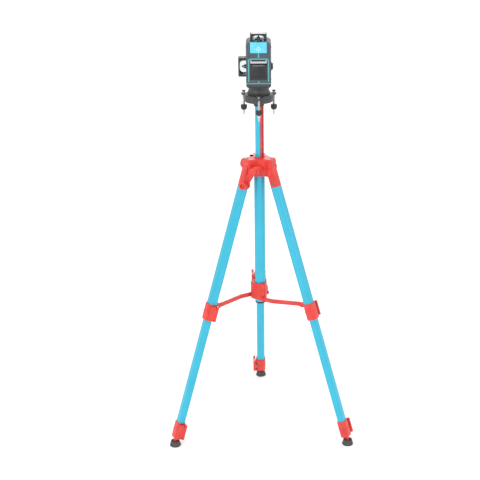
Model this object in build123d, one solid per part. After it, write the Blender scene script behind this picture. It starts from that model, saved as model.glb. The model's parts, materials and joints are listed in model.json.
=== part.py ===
from build123d import *
from math import atan2, cos, degrees, hypot, pi, radians, sin
import os

# A 3-D laser level on a three-legged elevator tripod. Millimetres, +Z up, floor at Z = 0.
# The column stands on the Z axis. The rear leg points to +Y and the battery faces -Y.

# Stance
foot_circle = 287.0            # radius of the circle through the three feet
hinge_radius = 36.0            # leg hinge, from the column axis
hinge_height = 797.0
foot_height = 15.0
foot_pivot_height = 10.0
foot_base_radius = 16.0
foot_top_radius = 12.5
leg_names = {"rear": 90, "left": 210, "right": -30}

# Leg tubes: width across the leg, depth from the column outwards, corner radius
tube_wall = 1.2
upper_tube = (28.0, 24.5, 8.0)
middle_tube = (24.6, 21.0, 6.8)
lower_tube = (21.2, 17.6, 5.6)
collar_wall = 2.6
collar_length = 48.0
mid_collar_at = 423.0          # distances down the leg from its hinge
lower_collar_at = 786.0
collar_rib = 4.0               # height of the raised band round a collar's middle
casting_end = 56.0
casting_plug = 14.0
middle_overlap = 52.0          # how far the middle tube reaches above the mid collar's step
lower_overlap = 400.0          # how far the lower tube reaches up inside the middle tube

# Clamp lever, on the flank of each collar
lever_barrel = 32.0
lever_radius = 4.5
lever_pin = 2.0
lever_plate = 5.0
lever_back = 8.5               # pin axis, behind the leg's centre line
lever_out = 5.2                # pin axis, out from the collar's flank
lever_reach = 11.0
lever_length = 43.0
lug_length = 6.0
slit_width = 1.8

# Running gaps
slide_gap = 0.3
shaft_gap = 0.06
fork_gap = 0.3

# Shoulder and centre tube
shoulder_bottom = 773.5
shoulder_top = 813.0
cover_top = 821.0
lobe_radius = 46.0
lobe_half = 18.5
lobe_corner = 8.0
shoulder_flat = 30.0
centre_tube_across = 29.5
centre_tube_wall = 1.3
centre_tube_bottom = 392.0
bolt_radius = 4.0
bolt_head = (6.5, 3.0)         # radius and thickness
seat_depth = 12.0              # how far the centre tube goes into the shoulder
vial_radius = 5.0
vial_radius_at = 25.0

# Column, rack and crank
column_radius = 11.0
column_wall = 1.6
column_bottom = 560.0
column_top = 964.0
rack_angle = -30.0             # the side of the column that carries the rack
rack_flat = 7.5
rack_width = 13.0
gear_module = 1.25
pinion_teeth = 10
rack_pitch_line = 10.0
rack_tooth_width = 9.0
pinion_width = 8.4
shaft_radius = 4.0
crank_plane = 61.0             # inner face of the crank arm, from the column axis
crank_length = 45.5
crank_lean = 30.0              # the arm's rest angle from straight down
crank_thick = 7.0
grip_radius = 11.5
grip_length = 15.0
lock_angle = 150.0
lock_knob_radius = 14.0
lock_knob_inner = 34.0
lock_knob_outer = 55.0
lock_screw_radius = 4.0
grip_pin = 3.0
stud_radius = 3.1

# Spreader
arm_offset = 21.0              # the hub end of an arm runs this far beside the hub's centre plane
arm_thick = 4.0
arm_tall = 12.0
arm_pivot_in = 22.0            # inwards from the leg's centre line
arm_pivot_at = 402.5           # down the leg
arm_hub_radius = 20.0
hub_top = 450.0
hub_bottom = 399.5
hub_face = 24.0
pin_radius = 2.5
ear_gap = 3.6                  # from the leg's middle plane to the inner face of an ear
ear_thick = 4.0
ear_radius = 6.0

# Level: levelling base
flange_radius = 14.0
disc_radius = 39.5
disc_bottom = 977.0
disc_top = 997.0
foot_ring = 47.2
level_tip = 931.0
level_knob = (8.6, 18.0, 32.0)  # radius, and its two faces above the tip
level_rod = 3.4
level_travel = 4.0
tab_low = 990.5                # the tabs that carry the levelling screws
tab_high = 995.5
level_foot_angles = (-90, 30, 150)
turntable_radius = 31.0
turntable_top = 1004.0

# Level: housing
body_width = 66.0
body_back = -44.0
body_front = 42.0
body_corner = 6.0
body_wall = 2.6
neck_top = 1022.0
neck_waist = 27.0
seam = 1034.5
body_top = 1142.5
cage_length = 44.0
cage_width = 31.0
cage_tall = 18.0
side_cage_length = 50.0
side_cage_out = 21.0
side_height = 1072.0           # height of the side and front laser windows
glass = 1.2
gimbal_height = 1112.0
gimbal_pin = 1.5
weight_low = 1046.0            # the brass weight under the pendulum
weight_top = 1057.0
weight_radius = 13.0
module_radius = 6.2
battery_half = 21.5
battery_low = 1045.5
battery_high = 1084.5
battery_deep = 18.0
latch_half = 21.5
latch_low = 1088.5
switch_low = 1061.0
switch_tall = 22.0
key_radius = 5.0
key_y = 28.0
top_opening = 10.6
side_opening = 10.2

rise = hinge_height - foot_pivot_height
run = foot_circle - hinge_radius
lean = degrees(atan2(run, rise))
leg_length = hypot(run, rise)
pitch_radius = gear_module * pinion_teeth / 2
pinion_offset = rack_pitch_line + pitch_radius
pinion_tip = pitch_radius + gear_module * 0.9
rack_tip = rack_pitch_line + gear_module * 0.9
tube_seat = shoulder_bottom + seat_depth


def box(x0, x1, y0, y1, z0, z1):
    return Pos((x0 + x1) / 2, (y0 + y1) / 2, (z0 + z1) / 2) * Box(x1 - x0, y1 - y0, z1 - z0)


def rod(radius, z0, z1, x=0, y=0):
    return Pos(x, y, (z0 + z1) / 2) * Cylinder(radius, z1 - z0)


def rod_x(radius, x0, x1, y=0, z=0):
    return Pos((x0 + x1) / 2, y, z) * Rot(0, 90, 0) * Cylinder(radius, x1 - x0)


def rod_y(radius, y0, y1, x=0, z=0):
    return Pos(x, (y0 + y1) / 2, z) * Rot(90, 0, 0) * Cylinder(radius, y1 - y0)


def frustum(low_radius, high_radius, z0, z1, x=0, y=0):
    return Pos(x, y, (z0 + z1) / 2) * Cone(low_radius, high_radius, z1 - z0)


def bar(size, z0, z1, grow=0.0):
    """A leg section from z0 up to z1, with every side moved out by grow."""
    width, depth, corner = size
    outline = RectangleRounded(depth + 2 * grow, width + 2 * grow, corner + grow)
    return Pos(0, 0, z0) * extrude(outline, z1 - z0)


def tube(size, z0, z1):
    return bar(size, z0, z1) - bar(size, z0 - 1, z1 + 1, -tube_wall)


def on_leg(angle):
    """Place of a leg's own frame: origin on the hinge, Z up the leg, X outwards, Y counter-clockwise."""
    return Rot(0, 0, angle) * Pos(hinge_radius, 0, hinge_height) * Rot(0, -lean, 0)


def write(name, *solids):
    parts[name] = solids
    shape = solids[0] if len(solids) == 1 else Compound(children=list(solids))
    export_step(shape, f"parts/{name}.step")


# ---------------------------------------------------------------- legs, in a leg's own frame

def leg_casting():
    depth = upper_tube[1]
    eye = rod_y(depth / 2, -upper_tube[0] / 2, upper_tube[0] / 2)
    body = bar(upper_tube, -casting_end, -2)
    plug = bar(upper_tube, -casting_end - casting_plug, -casting_end, -tube_wall)
    screw = rod_y(5.0, -upper_tube[0] / 2 - 0.8, -upper_tube[0] / 2 + 1, z=-casting_end + 10)
    bore = rod_y(bolt_radius + shaft_gap, -upper_tube[0], upper_tube[0])
    return eye + body + plug + screw - bore


def collar_body(outer, inner, at, step):
    """A clamp collar: its bore grips the outer tube above the step and guides the inner tube below it."""
    high, low = -at + collar_length / 2, -at - collar_length / 2
    half = outer[0] / 2 + collar_wall
    body = bar(outer, low, high, collar_wall)
    body = chamfer(body.edges().group_by(Axis.Z)[-1] + body.edges().group_by(Axis.Z)[0], 0.8)
    body += bar(outer, -at - collar_rib / 2, -at + collar_rib / 2, collar_wall + 0.7)
    for side in (-1, 1):
        centre = -at + side * (lever_barrel / 2 + fork_gap + lug_length / 2)
        z0, z1 = centre - lug_length / 2, centre + lug_length / 2
        body += rod(lever_radius, z0, z1, -lever_back, half + lever_out)
        x0, x1 = -lever_back - lever_radius, -lever_back + lever_radius
        body += box(x0, x1, half - 4, half + lever_out, z0, z1)
    body -= rod(lever_pin + shaft_gap, low - 1, high + 1, -lever_back, half + lever_out)
    body -= bar(outer, step, high + 1)
    body -= bar(inner, low - 1, step + 1, slide_gap)
    return body - box(-slit_width / 2, slit_width / 2, outer[0] / 2 - 3, half + 2, low - 1, high + 1)


def collar_lever(outer, at):
    """The flip lever lies along the collar's flank and turns about a pin that runs along the leg."""
    half = outer[0] / 2 + collar_wall
    y = half + lever_out
    barrel = rod(lever_radius, -at - lever_barrel / 2, -at + lever_barrel / 2, -lever_back, y)
    pin = rod(lever_pin, -at - collar_length / 2 + 1, -at + collar_length / 2 - 1, -lever_back, y)
    y0, y1 = y - lever_plate / 2, y + lever_plate / 2
    web = box(-lever_back, lever_reach, y0, y1, -at - lever_barrel / 2, -at + lever_barrel / 2)
    past_lugs = -lever_back + lever_radius + 2.2
    wide = box(past_lugs, lever_reach, y0, y1, -at - lever_length / 2, -at + lever_length / 2)
    lip = rod(0.68 * lever_plate, -at - lever_length / 2, -at + lever_length / 2, lever_reach - 1, y + 1.4)
    return barrel + pin + web + wide + lip


def arm_ears():
    """Two ears on the inner side of the mid collar carry the outer end of a spreader arm."""
    x0, x1 = -arm_pivot_in, -upper_tube[1] / 2 - 0.2
    z = -arm_pivot_at
    ears = None
    for side in (-1, 1):
        y0, y1 = sorted((side * ear_gap, side * (ear_gap + ear_thick)))
        ear = rod_y(ear_radius, y0, y1, x0, z) + box(x0, x1, y0, y1, z - ear_radius, z + ear_radius)
        ears = ear if ears is None else ears + ear
    return ears - rod_y(pin_radius + shaft_gap, -20, 20, x0, z)


def toe():
    """The plug at the foot end of the lower tube, with the eye and the two trunnions of the foot joint."""
    end = -lower_collar_at - collar_length / 2 - 1
    plug = bar(lower_tube, end, end + 18, -tube_wall)
    cap = bar(lower_tube, end - 2, end, -0.4)
    neck = bar((9.0, 10.0, 2.0), -leg_length, end - 1)
    eye = rod_y(5.0, -4.5, 4.5, 0, -leg_length)
    trunnions = rod_y(2.0, -9.0, 9.0, 0, -leg_length)
    return plug + cap + neck + eye + trunnions


def rubber_foot():
    """A swivelling foot, in the world's upright frame with its pivot axis along Y, about X = 0, Y = 0."""
    body = frustum(foot_base_radius, foot_top_radius, 0, foot_height)
    body = chamfer(body.edges().group_by(Axis.Z)[0], 1.0)
    body -= box(-6.5, 6.5, -4.9, 4.9, 3.2, foot_height + 1)
    for tilt in (-30, 30):
        body -= Pos(0, 0, foot_pivot_height) * Rot(0, tilt, 0) * Pos(0, 0, 8) * Box(11.5, 9.8, 16)
    body -= rod_y(2.0 + shaft_gap, -9.4, 9.4, 0, foot_pivot_height)
    return body


def build_legs():
    step = -mid_collar_at - 5
    low_step = -lower_collar_at - 5
    middle_top = step + middle_overlap
    lower_end = -lower_collar_at - collar_length / 2 - 1
    casting = leg_casting()
    upper = tube(upper_tube, step, -casting_end)
    mid_collar = collar_body(upper_tube, middle_tube, mid_collar_at, step) + arm_ears()
    mid_lever = collar_lever(upper_tube, mid_collar_at)
    middle = tube(middle_tube, low_step, middle_top)
    lower_collar = collar_body(middle_tube, lower_tube, lower_collar_at, low_step)
    lower_lever = collar_lever(middle_tube, lower_collar_at)
    lower = tube(lower_tube, lower_end, lower_end + lower_overlap)
    toe_plug = toe()
    foot = rubber_foot()
    for name, angle in leg_names.items():
        place = on_leg(angle)
        write(f"leg_casting_{name}", place * casting)
        write(f"upper_tube_{name}", place * upper)
        write(f"mid_collar_{name}", place * mid_collar)
        write(f"mid_lever_{name}", place * mid_lever)
        write(f"middle_tube_{name}", place * middle)
        write(f"lower_collar_{name}", place * lower_collar)
        write(f"lower_lever_{name}", place * lower_lever)
        write(f"lower_tube_{name}", place * lower, place * toe_plug)
        write(f"rubber_foot_{name}", Rot(0, 0, angle) * Pos(foot_circle, 0, 0) * foot)


# ---------------------------------------------------------------- shoulder and centre tube

def octagon(across, z0, z1, turn=0.0):
    """A square tube section with its corners cut to the same flats as an eight-sided bar."""
    outline = Rot(0, 0, turn) * RegularPolygon(across / 2, 8, major_radius=False, rotation=22.5)
    return Pos(0, 0, z0) * extrude(outline, z1 - z0)


def column_solid(z0, z1, grow=0.0):
    """The outline of the column with its rack, from z0 to z1, moved out by grow."""
    round_part = rod(column_radius + grow, z0, z1)
    strip = box(0, rack_tip + grow, -rack_width / 2 - grow, rack_width / 2 + grow, z0, z1)
    return round_part + Rot(0, 0, rack_angle) * strip


def lobe(radius, half, z0, z1):
    """One fork of the shoulder, pointing to +X, with a rounded outer end."""
    outline = extrude(Pos(radius / 2, 0, 0) * Rectangle(radius, 2 * half), z1 - z0)
    outline = fillet(outline.edges().filter_by(Axis.Z).sort_by(Axis.X)[-2:], lobe_corner)
    return Pos(0, 0, z0) * outline


def shoulder_plan(z0, z1, grow=0.0):
    body = None
    for angle in leg_names.values():
        piece = Rot(0, 0, angle) * lobe(lobe_radius + grow, lobe_half + grow, z0, z1)
        body = piece if body is None else body + piece
    core = RegularPolygon(shoulder_flat + grow, 6, major_radius=False, rotation=0)
    return body + Pos(0, 0, z0) * extrude(core, z1 - z0)


def leg_pocket():
    """The room a leg's eye and casting need in the shoulder, through the whole fold."""
    half = upper_tube[0] / 2 + fork_gap
    reach = upper_tube[1] / 2 + 0.6
    x0 = hinge_radius - reach
    pocket = box(x0, hinge_radius + reach, -half, half, shoulder_bottom - 1, hinge_height)
    pocket += rod_y(reach, -half, half, hinge_radius, hinge_height)
    way_out = box(hinge_radius, lobe_radius + 5, -half, half, shoulder_bottom - 1, hinge_height + 1.5)
    skirt = box(hinge_radius + 9, lobe_radius + 5, -40, 40, shoulder_bottom - 1, hinge_height - 12)
    return pocket + way_out + skirt


def crank_place():
    """The pinion's own frame: Z out towards the crank, X away from the column, Y up."""
    out = Vector(cos(radians(rack_angle)), sin(radians(rack_angle)), 0)
    axis = Vector(cos(radians(rack_angle - 90)), sin(radians(rack_angle - 90)), 0)
    return Plane(origin=out * pinion_offset + Vector(0, 0, hinge_height), x_dir=out, z_dir=axis)


def shoulder_casting():
    body = shoulder_plan(shoulder_bottom, shoulder_top)
    crank = crank_place().location
    body += crank * rod(9.5, 0, crank_plane - 2)
    body += crank * rod(11.0, crank_plane - 12, crank_plane - 2)
    boss = rod_x(9.0, 0, lock_knob_inner - 0.5)
    body += Pos(0, 0, hinge_height) * Rot(0, 0, lock_angle) * boss
    for angle in leg_names.values():
        body -= Rot(0, 0, angle) * leg_pocket()
        body -= Rot(0, 0, angle) * rod_y(bolt_radius, -30, 30, hinge_radius, hinge_height)
    body -= column_solid(shoulder_bottom - 1, shoulder_top + 1, slide_gap)
    body -= octagon(centre_tube_across, shoulder_bottom - 1, tube_seat)
    body -= crank * rod(shaft_radius + shaft_gap, -19, crank_plane + 1)
    body -= crank * rod(pinion_tip + 0.6, -pinion_width / 2 - 0.4, pinion_width / 2 + 0.4)
    lock = rod_x(lock_screw_radius + shaft_gap, column_radius, lock_knob_inner + 1)
    return body - Pos(0, 0, hinge_height) * Rot(0, 0, lock_angle) * lock


def shoulder_cover():
    body = shoulder_plan(shoulder_top, cover_top, -0.6)
    body = chamfer(body.edges().group_by(Axis.Z)[-1], 3.0)
    body += rod(column_radius + 4.5, cover_top - 1, cover_top + 2)
    body -= column_solid(shoulder_top - 1, cover_top + 3, slide_gap)
    return body - Rot(0, 0, lock_angle) * rod(vial_radius, cover_top - 4, cover_top + 1, vial_radius_at)


def leg_bolts():
    bolts = []
    for angle in leg_names.values():
        bolt = rod_y(bolt_radius, -lobe_half, lobe_half, hinge_radius, hinge_height)
        for side in (-1, 1):
            head = rod_y(bolt_head[0], *sorted((side * lobe_half, side * (lobe_half + bolt_head[1]))),
                         hinge_radius, hinge_height)
            socket = rod_y(bolt_head[0] / 2, *sorted((side * (lobe_half + 1.2), side * (lobe_half + 5))),
                           hinge_radius, hinge_height)
            bolt += head - socket
        bolts.append(Rot(0, 0, angle) * bolt)
    return bolts


def bubble_vial():
    """A round level: an open cup and the domed capsule in it."""
    inner, floor = vial_radius - 1.2, cover_top - 2.5
    cup = rod(vial_radius, cover_top - 4, cover_top + 2.5) - rod(inner, floor, cover_top + 3)
    dome = Pos(0, 0, cover_top - 8) * Sphere(10.4)
    capsule = rod(inner, floor, cover_top + 4) & (dome + rod(inner, floor, cover_top))
    place = Rot(0, 0, lock_angle) * Pos(vial_radius_at, 0, 0)
    return place * cup, place * capsule


def centre_tube():
    hollow = octagon(centre_tube_across - 2 * centre_tube_wall, centre_tube_bottom - 1, tube_seat + 1)
    return octagon(centre_tube_across, centre_tube_bottom, tube_seat) - hollow


def centre_tube_cap():
    plug = octagon(centre_tube_across - 2 * centre_tube_wall, centre_tube_bottom, centre_tube_bottom + 12)
    lip = octagon(centre_tube_across - 0.6, centre_tube_bottom - 6, centre_tube_bottom)
    return chamfer(lip.edges().group_by(Axis.Z)[0], 1.5) + plug


def build_shoulder():
    write("shoulder_casting", shoulder_casting())
    write("shoulder_cover", shoulder_cover())
    write("leg_pivot_bolts", *leg_bolts())
    write("bubble_vial", *bubble_vial())
    write("centre_tube", centre_tube())
    write("centre_tube_cap", centre_tube_cap())


# ---------------------------------------------------------------- spreader

def spreader_hub():
    """A block that slides on the centre tube. One flank per leg carries the hub end of that leg's arm."""
    flank = arm_offset - arm_thick / 2 - fork_gap
    body = rod(60, hub_bottom, hub_top)
    for angle in leg_names.values():
        body -= Rot(0, 0, angle) * box(hub_face, 80, -80, 80, hub_bottom - 1, hub_top + 1)
        body -= Rot(0, 0, angle) * box(-80, 80, -80, -flank, hub_bottom - 1, hub_top + 1)
    body = fillet(body.edges().filter_by(Axis.Z), 7.0)
    body = chamfer(body.edges().group_by(Axis.Z)[-1] + body.edges().group_by(Axis.Z)[0], 1.2)
    return body - octagon(centre_tube_across + 2 * slide_gap, hub_bottom - 1, hub_top + 1)


def arm_ends():
    """Where an arm's two pivots lie in its leg's upright plane: radius and height."""
    s, c = sin(radians(lean)), cos(radians(lean))
    outer_r = hinge_radius - arm_pivot_in * c + arm_pivot_at * s
    outer_z = hinge_height - arm_pivot_in * s - arm_pivot_at * c
    return outer_r, outer_z


def spreader_arm():
    """A pressed arm that joggles sideways, so that it passes the hub and the centre tube."""
    outer_r, z = arm_ends()
    t = arm_thick / 2
    bend_out, bend_in = outer_r - 12, arm_hub_radius + 32
    tip_out, tip_in = outer_r + arm_tall / 2, arm_hub_radius - arm_tall / 2
    off = -arm_offset
    plan = [(tip_out, t), (bend_out, t), (bend_in, off + t), (tip_in, off + t),
            (tip_in, off - t), (bend_in, off - t), (bend_out, -t), (tip_out, -t)]
    strip = Pos(0, 0, z - arm_tall / 2) * extrude(make_face(Polyline(plan, close=True)), arm_tall)
    side = rod_y(arm_tall / 2, -40, 40, outer_r, z) + rod_y(arm_tall / 2, -40, 40, arm_hub_radius, z)
    side += box(arm_hub_radius, outer_r, -40, 40, z - arm_tall / 2, z + arm_tall / 2)
    arm = strip & side
    pin = rod_y(pin_radius, -ear_gap - ear_thick, ear_gap + ear_thick, outer_r, z)
    rivet = rod_y(4.2, off - t - 2, off - t, arm_hub_radius, z)
    return arm + pin + rivet


def build_spreader():
    write("spreader_hub", spreader_hub())
    arm = spreader_arm()
    for name, angle in leg_names.items():
        write(f"spreader_arm_{name}", Rot(0, 0, angle) * arm)


# ---------------------------------------------------------------- column, rack and crank

def column_tube():
    body = rod(column_radius, column_bottom, column_top) - rod(column_radius - column_wall,
                                                               column_bottom - 1, column_top + 1)
    body += rod(column_radius - column_wall, column_bottom, column_bottom + 4)
    return body - Rot(0, 0, rack_angle) * box(rack_flat, 30, -30, 30, column_bottom - 1, column_top + 1)


def rack():
    """A toothed strip along the column, with a gap between teeth at the height of the pinion."""
    pitch = pi * gear_module
    root = rack_pitch_line - 1.25 * gear_module
    z0, z1 = column_bottom + 8, column_top
    count_down = int((hinge_height - z0) / pitch) - 1
    count_up = int((z1 - hinge_height) / pitch) - 1
    points = [(rack_flat, z0), (root, z0)]
    for i in range(-count_down, count_up + 1):
        centre = hinge_height + (i + 0.5) * pitch
        foot, tip = 0.33 * pitch, 0.12 * pitch
        points += [(root, centre - foot), (rack_tip, centre - tip)]
        points += [(rack_tip, centre + tip), (root, centre + foot)]
    points += [(root, z1), (rack_flat, z1)]
    face = make_face(Plane.XZ * Polyline([(x, z) for x, z in points], close=True))
    teeth = Pos(0, rack_tooth_width / 2, 0) * extrude(face, rack_tooth_width)
    rails = None
    for side in (-1, 1):
        y0, y1 = sorted((side * rack_tooth_width / 2, side * rack_width / 2))
        rail = box(rack_flat, rack_tip, y0, y1, z0, z1)
        rails = rail if rails is None else rails + rail
    return Rot(0, 0, rack_angle) * (teeth + rails)


def column_head():
    cup = rod(flange_radius, column_top, disc_bottom)
    cup = chamfer(cup.edges().group_by(Axis.Z)[0], 2.0)
    plug = rod(column_radius - column_wall, column_top - 14, column_top)
    plug -= Rot(0, 0, rack_angle) * box(rack_flat, 30, -30, 30, column_top - 20, column_top)
    stud = rod(stud_radius, disc_bottom, disc_bottom + 9)
    return cup + plug + stud


def pinion():
    """A small straight-toothed pinion, one tooth pointing at the rack."""
    root = pitch_radius - 1.25 * gear_module
    points = []
    for i in range(pinion_teeth):
        middle = 180 + 360 * i / pinion_teeth
        for radius, half in ((root, 11.0), (pitch_radius, 7.2), (pinion_tip, 3.2)):
            points.append((radius, middle - half))
        for radius, half in ((pinion_tip, 3.2), (pitch_radius, 7.2), (root, 11.0)):
            points.append((radius, middle + half))
    outline = [(r * cos(radians(a)), r * sin(radians(a))) for r, a in points]
    return extrude(make_face(Polyline(outline, close=True)), pinion_width)


def crank_shaft():
    shaft = rod(shaft_radius, -18, crank_plane + crank_thick - 1)
    return shaft + Pos(0, 0, -pinion_width / 2) * pinion()


def crank_arm():
    """The arm in the pinion's frame, hanging down and to the side at rest."""
    z0, z1 = crank_plane, crank_plane + crank_thick
    hub = rod(9.5, z0 - 1.5, z1 + 1.5)
    end = rod(13.0, z0, z1, 0, -crank_length)
    outline = [(-8, 0), (8, 0), (7, -crank_length), (-7, -crank_length)]
    web = Pos(0, 0, z0) * extrude(make_face(Polyline(outline, close=True)), crank_thick)
    arm = hub + end + web
    slot = Pos(0, -crank_length * 0.5, 0) * SlotOverall(22, 7, rotation=90)
    arm = arm - Pos(0, 0, z1 - 1.2) * extrude(slot, 5)
    arm -= rod(shaft_radius, z0 - 5, z1 - 1)
    arm -= rod(grip_pin + shaft_gap, z0 - 1, z1 + 1, 0, -crank_length)
    return Rot(0, 0, -crank_lean) * arm


def crank_grip():
    """A spinning grip with a hollow end, and its pin through the crank arm."""
    z0 = crank_plane + crank_thick + 0.3
    body = frustum(grip_radius - 1.5, grip_radius, z0, z0 + grip_length, 0, -crank_length)
    body = fillet(body.edges().group_by(Axis.Z)[-1], 2.5)
    body -= rod(6.4, z0 + grip_length - 4, z0 + grip_length + 1, 0, -crank_length)
    body += rod(3.0, z0 + grip_length - 4, z0 + grip_length - 1.5, 0, -crank_length)
    body += rod(grip_pin, crank_plane - 1.4, z0, 0, -crank_length)
    return Rot(0, 0, -crank_lean) * body


def lock_knob():
    """A lobed knob on the screw that clamps the column, built along +X."""
    body = rod(lock_knob_radius, lock_knob_inner, lock_knob_outer)
    body = fillet(body.edges().group_by(Axis.Z)[-1], 4.0)
    for i in range(6):
        angle = radians(60 * i)
        reach = lock_knob_radius + 2.2
        body -= rod(4.2, lock_knob_inner - 1, lock_knob_outer + 1, reach * cos(angle), reach * sin(angle))
    screw = rod(lock_screw_radius, column_radius + 0.8, lock_knob_inner)
    return Pos(0, 0, hinge_height) * Rot(0, 0, lock_angle) * Rot(0, 90, 0) * (body + screw)


def build_column():
    crank = crank_place().location
    write("column_tube", column_tube())
    write("column_rack", rack())
    write("column_head", column_head())
    write("crank_shaft", crank * crank_shaft())
    write("crank_arm", crank * crank_arm())
    write("crank_grip", crank * crank_grip())
    write("column_lock_knob", lock_knob())


# ---------------------------------------------------------------- levelling base

def levelling_base():
    body = rod(disc_radius, disc_bottom, disc_top)
    body = chamfer(body.edges().group_by(Axis.Z)[-1], 1.6)
    body = chamfer(body.edges().group_by(Axis.Z)[0], 3.0)
    body -= rod(disc_radius - 3.5, disc_bottom - 1, disc_bottom + 3)
    body += rod(flange_radius + 2, disc_bottom, disc_bottom + 5)
    for angle in level_foot_angles:
        tab = box(20, foot_ring, -7, 7, tab_low, tab_high) + rod(7.0, tab_low, tab_high, foot_ring)
        rib = box(30, disc_radius + 2.5, -2.5, 2.5, disc_bottom + 6, tab_low)
        body += Rot(0, 0, angle) * (tab + rib)
    for angle in level_foot_angles:
        body -= Rot(0, 0, angle) * rod(level_rod + shaft_gap, tab_low - 1, tab_high + 1, foot_ring)
    body -= rod(stud_radius, disc_bottom - 1, disc_bottom + 9)
    return body - rod(5.0 + shaft_gap, disc_top - 8, disc_top + 1)


def levelling_foot():
    """Knob, rod and pointed tip, turned in one piece, on the foot circle at angle 0."""
    radius, low, high = level_knob[0], level_tip + level_knob[1], level_tip + level_knob[2]
    body = frustum(1.0, 4.8, level_tip, low - 1) + rod(4.8, low - 1, low)
    knob = rod(radius, low, high)
    knob = chamfer(knob.edges().group_by(Axis.Z)[0], 3.0)
    knob = chamfer(knob.edges().group_by(Axis.Z)[-1], 1.0)
    for i in range(12):
        knob -= Rot(0, 0, 30 * i) * rod(1.0, low - 1, high + 1, radius + 0.5)
    cap = rod(level_rod + 1.6, tab_high + level_travel, tab_high + level_travel + 3)
    return Pos(foot_ring, 0, 0) * (body + knob + rod(level_rod, high, tab_high + level_travel) + cap)


def turntable():
    body = rod(turntable_radius, disc_top + 0.3, turntable_top)
    body = chamfer(body.edges().group_by(Axis.Z)[-1], 1.2)
    for i in range(36):
        angle = 10 * i
        notch = box(turntable_radius - 1.2, turntable_radius + 1, -0.4, 0.4, disc_top, turntable_top - 2)
        body -= Rot(0, 0, angle) * notch
    return body + rod(5.0, disc_top - 7.5, disc_top + 1)


def build_base():
    write("levelling_base", levelling_base())
    foot = levelling_foot()
    for name, angle in zip(("back", "right", "left"), level_foot_angles):
        write(f"levelling_foot_{name}", Rot(0, 0, angle) * foot)
    write("turntable", turntable())


# ---------------------------------------------------------------- level

def block(half_x, y0, y1, z0, z1, corner):
    outline = Pos(0, (y0 + y1) / 2, 0) * RectangleRounded(2 * half_x, y1 - y0, corner)
    return Pos(0, 0, z0) * extrude(outline, z1 - z0)


def lower_housing():
    """The base of the level, with the waisted neck that stands on the turntable."""
    body = block(body_width / 2, body_back, body_front, neck_top, seam, body_corner)
    body = chamfer(body.edges().group_by(Axis.Z)[0], 4.0)
    waist = turntable_top + 8
    neck = frustum(turntable_radius - 1.5, neck_waist, turntable_top, waist)
    neck += frustum(neck_waist, 29.5, waist, neck_top)
    post = rod(16.0, turntable_top, neck_top)
    return body + neck + post


def cage(length, width, tall):
    """An open window frame standing on Z = 0, its roof at Z = tall, X along its length."""
    body = Pos(0, 0, tall / 2) * Box(length, width, tall)
    body = fillet(body.edges().filter_by(Axis.Z), 3.0)
    body = chamfer(body.edges().group_by(Axis.Z)[-1], 1.6)
    arch = RectangleRounded(length - 13, 2 * (tall - 4.2), 9.0)
    body -= Rot(90, 0, 0) * Pos(0, 0, -width) * extrude(arch, 2 * width)
    side = RectangleRounded(width - 9, 2 * (tall - 3.4), 4.0)
    body -= Rot(90, 0, 90) * Pos(0, 0, -length) * extrude(side, 2 * length)
    return body - Pos(0, 0, tall / 2 - 2.6) * Box(length - 6, width - 6, tall)


def window(length, width, tall):
    """The clear cover inside a window frame."""
    long, wide, high = length - 6.4, width - 6.4, tall - 3
    outer = Pos(0, 0, high / 2) * Box(long, wide, high)
    return outer - Pos(0, 0, high / 2 - glass) * Box(long - 2 * glass, wide - 2 * glass, high)


def cage_places():
    """Where the top, side and front window frames stand, with their sizes."""
    half = body_width / 2
    top = Pos(0, 0, body_top)
    side = Pos(-half, 0, side_height) * Rot(0, -90, 0)
    front = Pos(0, body_front, side_height) * Rot(-90, 0, 0) * Rot(0, 0, 90)
    return ((top, cage_length, cage_width, cage_tall), (side, side_cage_length, cage_width, side_cage_out),
            (front, side_cage_length, cage_width, side_cage_out))


def housing():
    half = body_width / 2
    body = block(half, body_back, body_front, seam, body_top, body_corner)
    shoulder_edges = body.edges().group_by(Axis.Z)[-1]
    body = chamfer(shoulder_edges, 6.0)
    w = body_wall
    body -= block(half - w, body_back + w, body_front - w, seam - 1, body_top - 2 * w, body_corner - w)
    body -= box(-battery_half - 0.4, battery_half + 0.4, body_back - 1, body_back + w + 1,
                battery_low - 0.4, battery_high + 0.4)
    pocket = box(-battery_half - 2, battery_half + 2, body_back + w, body_back + battery_deep + 2,
                 battery_low - 2, battery_high + 2)
    pocket -= box(-battery_half - 0.4, battery_half + 0.4, body_back - 1, body_back + battery_deep + 0.4,
                  battery_low - 0.4, battery_high + 0.4)
    body += pocket
    latch = box(-latch_half - 0.4, latch_half + 0.4, body_back - 1, body_back + 4.4,
                latch_low - 3.4, latch_low + 9.6)
    shelf = box(-latch_half - 2, latch_half + 2, body_back + w - 1, body_back + 6,
                battery_high + 0.4, latch_low + 11)
    body = body + shelf - latch
    body -= rod(top_opening, body_top - 10, body_top + 1)
    body -= rod_x(side_opening, -half - 1, -half + 4, 0, side_height)
    body -= rod_y(side_opening, body_front - 4, body_front + 1, 0, side_height)
    for side in (-1, 1):
        x0, x1 = sorted((side * 21, side * (half - w)))
        post = rod_x(4.0, x0, x1, 0, gimbal_height)
        bore = rod_x(gimbal_pin + shaft_gap, *sorted((side * 20, side * 27)), 0, gimbal_height)
        body += post - bore
    body -= box(half - 1.4, half + 1, -8, 8, switch_low - 9, switch_low + switch_tall + 1)
    return body - rod(key_radius + 0.3, body_top - 4.4, body_top + 1, 0, key_y)


def gimbal_ring():
    ring = rod(17.0, gimbal_height - 2.5, gimbal_height + 2.5)
    ring -= rod(13.0, gimbal_height - 3, gimbal_height + 3)
    ring += rod_x(gimbal_pin, 16.5, 26, 0, gimbal_height) + rod_x(gimbal_pin, -26, -16.5, 0, gimbal_height)
    return ring - rod_y(gimbal_pin + shaft_gap, -18, 18, 0, gimbal_height)


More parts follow.
